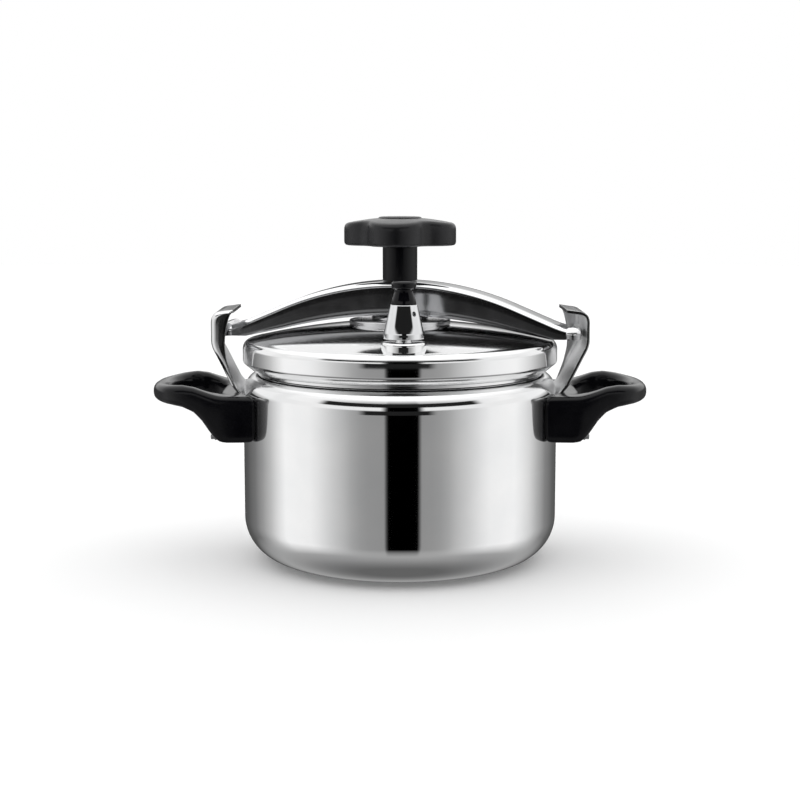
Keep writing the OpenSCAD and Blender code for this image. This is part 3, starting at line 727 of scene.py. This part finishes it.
# ---- Screw and foot ----------------------------------------------------------------------
# A steel clamp screw turns in a flat pressing foot, which a snap ring keeps on its end. The
# foot stands on the lid's disc and doesn't turn with the screw.
foot_low, foot_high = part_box("presser_foot")
foot_r = foot_high.x
foot_outline = eased(
    [
        (0, foot_low.z, 0),
        (foot_r - 0.4 * mm, foot_low.z, 0.3 * mm),
        (foot_r, foot_low.z + 1.2 * mm, 0.6 * mm),
        (foot_r - 1.2 * mm, foot_low.z + 2.5 * mm, 0.8 * mm),
        (10.6 * mm, foot_low.z + 2.7 * mm, 1 * mm),
        (10 * mm, foot_high.z, 0.5 * mm),
        (6.05 * mm, foot_high.z, 0.2 * mm),
        (6.05 * mm, foot_low.z + 1.1 * mm, 0),
        (0, foot_low.z + 1.1 * mm, 0),
    ]
)
add_piece("foot_plate", turned(foot_outline, steps=96), disc_steel, "foot_body", "presser_foot")
refinish(small_steel, "foot_ring", "clamp_screw")
refinish(brass, "yoke_bush")

# ---- Yoke --------------------------------------------------------------------------------
# An arched channel pressed from steel sheet and chromed. Its flanges carry painted shade, a far darker
# colour than its top. The flanges are deep in the middle and shallow at the two ends, which swing in
# under the hooks of the lugs.
yoke_turn = -7.5
yoke_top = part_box("yoke")[1].z
yoke_end_x = 126 * mm
yoke_half_w = 18.5 * mm
yoke_t = 2.5 * mm
flange_h = 23 * mm
end_flange = 6 * mm
arch_r = 205 * mm
toe_r = 70 * mm
arch_slope = math.radians(23)
toe_slope = math.radians(7)
yoke_drop = 32.5 * mm
edge_ease = 4 * mm
end_corner_r = 7 * mm
flange_bow = 24.8 * mm


def yoke_line():
    """Points along the top of the right half of the arch, from the middle to the end."""
    arch_x = arch_r * math.sin(arch_slope)
    toe_fall = toe_r * (math.cos(toe_slope) - math.cos(arch_slope))
    arch_fall = arch_r * (1 - math.cos(arch_slope))
    toe_start = arch_x + (yoke_drop - arch_fall - toe_fall) / math.tan(arch_slope)
    crown = arc((0, yoke_top - arch_r), (arch_r, arch_r), 90, 90 - math.degrees(arch_slope), 28)
    toe_z = yoke_top - yoke_drop + toe_r * math.cos(toe_slope)
    toe_at = (toe_start + toe_r * math.sin(arch_slope), toe_z)
    toe = arc(toe_at, (toe_r, toe_r), 270 - math.degrees(arch_slope), 270 - math.degrees(toe_slope), 12)
    run = yoke_end_x - end_corner_r - toe[-1][0]
    steps = [run * i / 6 for i in range(1, 7)]
    steps += [run + end_corner_r * math.sin(math.radians(9 * i)) for i in range(1, 11)]
    return crown + toe + [(toe[-1][0] + x, toe[-1][1] - x * math.tan(toe_slope)) for x in steps]


def yoke_row(x, top):
    """A line across the channel: up one flange, round over the top and down the other."""
    low = max(yoke_top - yoke_drop - end_flange, yoke_top - flange_h - flange_bow * (x / yoke_end_x) ** 2)
    low = min(low, top - end_flange)
    past = max(0, abs(x) - (yoke_end_x - end_corner_r))
    half = yoke_half_w - end_corner_r + math.sqrt(max(0, end_corner_r**2 - past**2))
    past = max(0, abs(x) - (yoke_end_x - edge_ease))
    drop = edge_ease - math.sqrt(max(0, edge_ease**2 - past**2))
    side = [(-half, low + (top - edge_ease - low) * i / 4) for i in range(4)]
    fold = arc((0, top - edge_ease), (edge_ease, edge_ease), 180, 90, 8)
    side += [(y - half + edge_ease, z) for y, z in fold]
    across = side + [(0.5 * y, top + 0.1 * mm) for y in (-half, half)] + [(-y, z) for y, z in side[::-1]]
    return [(x, y, min(z, top - drop)) for y, z in across]


line = yoke_line()
line = [(-x, z) for x, z in line[:0:-1]] + line
yoke = sheet_of([yoke_row(x, z) for x, z in line])
for end in (-yoke_end_x, yoke_end_x):
    mouth = [v for v in yoke.verts if abs(v.co.x - end) < 0.01 * mm]
    mouth += [e for e in yoke.edges if all(v in mouth for v in e.verts)]
    bmesh.ops.contextual_create(yoke, geom=mouth)
bmesh.ops.recalc_face_normals(yoke, faces=yoke.faces)
if sum(f.normal.z for f in yoke.faces) < 0:
    bmesh.ops.reverse_faces(yoke, faces=yoke.faces)
turned_about(yoke, yoke_turn)
yoke_chrome = metal_finish("yoke_chrome", ((0.8, 0.805, 0.815), (0.86, 0.865, 0.87)), (0.06, 0.09))
yoke_channel = add_piece("yoke_channel", yoke, yoke_chrome, "yoke_body", "yoke", 45)
# Painted shade: the upright flanges get a dark copy of the chrome in place of the top's bright colour.
yoke_side = metal_finish("yoke_side", ((0.36, 0.362, 0.37), (0.42, 0.422, 0.43)), (0.09, 0.12))
duller_where(yoke_channel, yoke_side, lambda face: abs(face.normal.z) < 0.25)
thicken(yoke_channel, yoke_t, 0.5 * mm)

# ---- Collar ------------------------------------------------------------------------------
# A black moulded sleeve round the screw, fixed on the yoke. It runs up into the knob's well
# as the knob is wound down.
collar_low, collar_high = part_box("yoke_collar")
collar_r = collar_high.x
collar_bore_r = 6.3 * mm
bush_room_r = 9 * mm
bush_room_z = collar_high.z - 3 * mm
collar_outline = eased(
    [
        (bush_room_r, bush_room_z, 0),
        (bush_room_r, collar_low.z, 0),
        (collar_r, collar_low.z, 0.5 * mm),
        (collar_r, collar_high.z, 0.6 * mm),
        (collar_bore_r, collar_high.z, 0),
        (collar_bore_r, bush_room_z, 0),
    ]
)
collar_black = moulded_finish("collar_black", jet_black, (0.14, 0.2), peel_depth)
collar = turned(collar_outline, steps=96, closed=True)
add_piece("collar_sleeve", collar, collar_black, "yoke_body", "yoke_collar")

# ---- Knob --------------------------------------------------------------------------------
# A four-lobed knob moulded in satin black phenolic over a steel insert, which a cross pin
# fixes to the screw. A round cap closes the top.
knob_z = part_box("knob")[0].z
knob_core_r = 29.9 * mm
knob_lobe_r = 18.5 * mm
knob_r = 39.1 * mm
knob_rim_z = knob_z + 15 * mm
knob_crown = 4.4 * mm
knob_turn = -8
well_r = 12.4 * mm
well_z = knob_z + 9.6 * mm
insert_r = 8.5 * mm
cap_seat_r = 15.2 * mm
cap_seat_z = knob_rim_z + 1.2 * mm
# Insets and heights of the lines round the knob's side, and insets and depths of those on top
knob_side = ((1.1, 0.35), (0.35, 1.1), (0, 2.4), (0, 6), (0, 10))
knob_top = ((0.1, 3), (0.5, 1.5), (1.3, 0.5), (2.6, 0.05), (5, 0), (9, 0))


def crown_z(radius):
    """Height of the knob's crowned top at a distance from its middle."""
    return knob_rim_z + knob_crown * (1 - (radius / knob_r) ** 2)


def lobed_edge(angle):
    """Distance of the knob's edge from its middle: four round lobes eased into a round core."""
    off = (angle + math.pi / 4) % (math.pi / 2) - math.pi / 4
    lobe_at = knob_r - knob_lobe_r
    lobe = lobe_at * math.cos(off) + math.sqrt(knob_lobe_r**2 - (lobe_at * math.sin(off)) ** 2)
    gap = lobe - knob_core_r
    return knob_core_r + 0.5 * (gap + math.sqrt(gap**2 + (1.6 * mm) ** 2))


def knob_ring(inset, height, lobed=True):
    """A closed line round the knob: an inset from its lobed edge, or a circle of that radius.

    A height under 8 mm is a depth below the crown.
    """
    row = []
    for i in range(160):
        a = math.tau * i / 160
        radius = inset
        if lobed:
            radius = lobed_edge(a) - inset
        z = crown_z(radius) - height if height < 8 * mm else height
        turn = a + math.radians(knob_turn)
        row.append((radius * math.cos(turn), radius * math.sin(turn), z))
    return row


knob_rows = [knob_ring(2.4 * mm, knob_z)]
knob_rows += [knob_ring(x * mm, knob_z + z * mm) for x, z in knob_side]
knob_rows += [knob_ring(x * mm, z * mm) for x, z in knob_top]
knob_rows += [knob_ring(r * mm, 0, False) for r in (22, 18.5, 16.2, 15.4)]
knob_rows += [knob_ring(cap_seat_r, 0.3 * mm, False), knob_ring(cap_seat_r, cap_seat_z, False)]
knob_rows += [knob_ring(insert_r, cap_seat_z, False), knob_ring(insert_r, well_z, False)]
knob_rows += [knob_ring(well_r, well_z, False), knob_ring(well_r, knob_z, False)]
satin_black = ((0.008, 0.008, 0.009), (0.016, 0.016, 0.018))
knob_black = moulded_finish("knob_black", satin_black, (0.22, 0.28), 0.02 * mm, 0.3)
knob = bridged_ring([list(section) for section in zip(*knob_rows)])
add_piece("knob_moulding", knob, knob_black, "screw_body", "knob", 40)
refinish(small_steel, "knob_insert", "knob_pin")
knob_cap_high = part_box("knob_cap")[1].z
knob_cap_outline = eased(
    [
        (0, cap_seat_z, 0),
        (15 * mm, cap_seat_z, 0.2 * mm),
        (15 * mm, knob_cap_high - 0.6 * mm, 0.8 * mm),
        (13.4 * mm, knob_cap_high - 0.1 * mm, 0.8 * mm),
        (0, knob_cap_high, 0),
    ]
)
knob_cap = turned(knob_cap_outline, steps=96)
add_piece("knob_top_cap", knob_cap, knob_black, "screw_body", "knob_cap")

# ---- Studio ------------------------------------------------------------------------------
# A pale floor under a ring of soft light panels, with dark cards in front and a dark room
# behind, so that the polished metal has something to reflect. The floor isn't in reflections.
floor_mesh = bmesh.new()
bmesh.ops.create_circle(floor_mesh, cap_ends=True, radius=4, segments=96)
bmesh.ops.translate(floor_mesh, verts=floor_mesh.verts, vec=(0, 0, cad_box[0][2] - 0.2 * mm))
floor_data = bpy.data.meshes.new("floor")
floor_mesh.to_mesh(floor_data)
floor = bpy.data.objects.new("floor", floor_data)
bpy.context.scene.collection.objects.link(floor)
floor_paint, floor_tree, floor_shader = new_finish("floor_paint", 0.0, 0.9)
floor_tone = grain(floor_tree, object_place(floor_tree), 3)
floor_tree.links.new(spread(floor_tree, floor_tone, 0.93, 0.95), floor_shader.inputs["Base Color"])
floor_data.materials.append(floor_paint)
floor.visible_glossy = False

# Brightness of the ring by angle from straight in front: a black card, then the panels to
# its right and its left
card_edges = ((-9.6, 0.0), (13.7, 0.0))
right_panels = (
    (14.6, 0.29), (23, 0.305), (29, 0.335), (35, 0.4), (41, 0.505), (48, 0.61), (61, 0.83), (68, 0.92),
    (91, 0.97), (99, 0.87), (108, 0.71), (119, 0.46), (132, 0.24), (150, 0.12), (180, 0.055),
)
left_panels = (
    (10.5, 0.29), (23, 0.305), (29, 0.335), (35, 0.4), (41, 0.505), (48, 0.61), (61, 0.83), (68, 0.92),
    (91, 0.97), (99, 0.78), (108, 0.53), (119, 0.33), (132, 0.18), (150, 0.095), (180, 0.055),
)
world = bpy.data.worlds.new("studio")
world.use_nodes = True
bpy.context.scene.world = world
room = world.node_tree
background = room.nodes["Background"]


def sum_node(operation, first, second=0.0, third=None):
    """A Math node over numbers or other nodes' outputs."""
    step = room.nodes.new("ShaderNodeMath")
    step.operation = operation
    for socket, value in zip(step.inputs, (first, second, third)):
        if isinstance(value, (int, float)):
            socket.default_value = value
        elif value is not None:
            room.links.new(value, socket)
    return step.outputs["Value"]


def panels(value, stops):
    """A ramp of grey levels over a value from 0 to 1."""
    ramp = room.nodes.new("ShaderNodeValToRGB")
    while len(ramp.color_ramp.elements) < len(stops):
        ramp.color_ramp.elements.new(0.5)
    for element, (place, level) in zip(ramp.color_ramp.elements, stops):
        element.position = place
        element.color = (level, level, level, 1)
    room.links.new(value, ramp.inputs["Fac"])
    return ramp.outputs["Color"]


def blend_grey(share, first, second):
    """Mixes two grey levels."""
    kept = sum_node("MULTIPLY", first, sum_node("SUBTRACT", 1.0, share))
    return sum_node("ADD", kept, sum_node("MULTIPLY", second, share))


way = room.nodes.new("ShaderNodeTexCoord").outputs["Generated"]
split = room.nodes.new("ShaderNodeSeparateXYZ")
room.links.new(way, split.inputs["Vector"])
azimuth = sum_node("ARCTAN2", split.outputs["X"], sum_node("MULTIPLY", split.outputs["Y"], -1.0))
azimuth_share = sum_node("MULTIPLY_ADD", azimuth, 0.5 / math.pi, 0.5)
height = sum_node("MULTIPLY_ADD", split.outputs["Z"], 0.5, 0.5)
angle_stops = [(-a, level) for a, level in reversed(left_panels)] + list(card_edges) + list(right_panels)


def lift_at(degrees):
    """The height value of a direction that many degrees above the horizon."""
    return 0.5 + 0.5 * math.sin(math.radians(degrees))


def by_angle(stops):
    """A ramp over the degrees to the right of straight in front."""
    return panels(azimuth_share, [((a + 180) / 360, level) for a, level in stops])


def by_height(stops):
    """A ramp over the degrees above the horizon."""
    return panels(height, [(lift_at(e), level) for e, level in stops])


ring = by_angle(angle_stops)

# Bright cloth overhead, lower down at the back than in front
overhead = by_height(((2, 0.0), (9, 1.0), (60, 1.0)))
behind = panels(azimuth_share, [(0, 1.0), (0.2, 1.0), (0.27, 0.0), (0.73, 0.0), (0.8, 1.0), (1, 1.0)])
above = by_height(((30, 0.0), (55, 1.0)))
sky_share = sum_node("MAXIMUM", sum_node("MULTIPLY", overhead, behind), above)
lit = blend_grey(sky_share, ring, sum_node("MULTIPLY_ADD", above, 0.6, 0.95))
# A low bright strip across the front, open in the middle
front_strip = by_angle(
    ((-110, 0.0), (-95, 1.0), (-14, 1.0), (-11, 0.0), (15, 0.0), (18, 1.0), (95, 1.0), (110, 0.0))
)
strip_height = by_height(((6, 0.0), (9, 1.0), (18, 1.0), (20, 0.0)))
lit = blend_grey(sum_node("MULTIPLY", front_strip, strip_height), lit, 0.9)
# Two black cards in front: one on the horizon for the yoke, a wider one above for the weight
narrow_card = by_angle(((-30, 0.0), (-24, 1.0), (20, 1.0), (26, 0.0)))
wide_card = by_angle(((-64, 0.0), (-57, 1.0), (57, 1.0), (64, 0.0)))
narrow_height = by_height(((-6.1, 0.0), (-5.6, 1.0), (5, 1.0), (7, 0.0)))
wide_height = by_height(((18.5, 0.0), (20, 1.0), (32, 1.0), (33.5, 0.0)))
dark_front = sum_node(
    "MAXIMUM",
    sum_node("MULTIPLY", narrow_card, narrow_height),
    sum_node("MULTIPLY", wide_card, wide_height),
)
lit = blend_grey(dark_front, lit, 0.015)
# The table below fades from grey to dark under the object
under = by_height(((-40, 1.0), (-22, 0.0)))
low_tone = by_height(((-75, 0.13), (-50, 0.3), (-30, 0.45)))
reflected = blend_grey(under, lit, low_tone)
seen = room.nodes.new("ShaderNodeLightPath").outputs["Is Camera Ray"]
room.links.new(blend_grey(seen, reflected, 1.0), background.inputs["Color"])

# The camera stands a metre in front, a little above the lid, and looks slightly down.
camera_data = bpy.data.cameras.new("camera")
camera_data.lens = 70.07
camera_data.sensor_width = 36
camera = bpy.data.objects.new("camera", camera_data)
look_at = Vector((0, 0, 110.5 * mm))
stand_off = 1.1
pitch = math.radians(8)
camera.location = look_at + Vector((0, -stand_off * math.cos(pitch), stand_off * math.sin(pitch)))
camera.rotation_euler = (math.pi / 2 - pitch, 0, 0)
bpy.context.scene.collection.objects.link(camera)
bpy.context.scene.camera = camera
bpy.context.scene.view_settings.view_transform = "Standard"
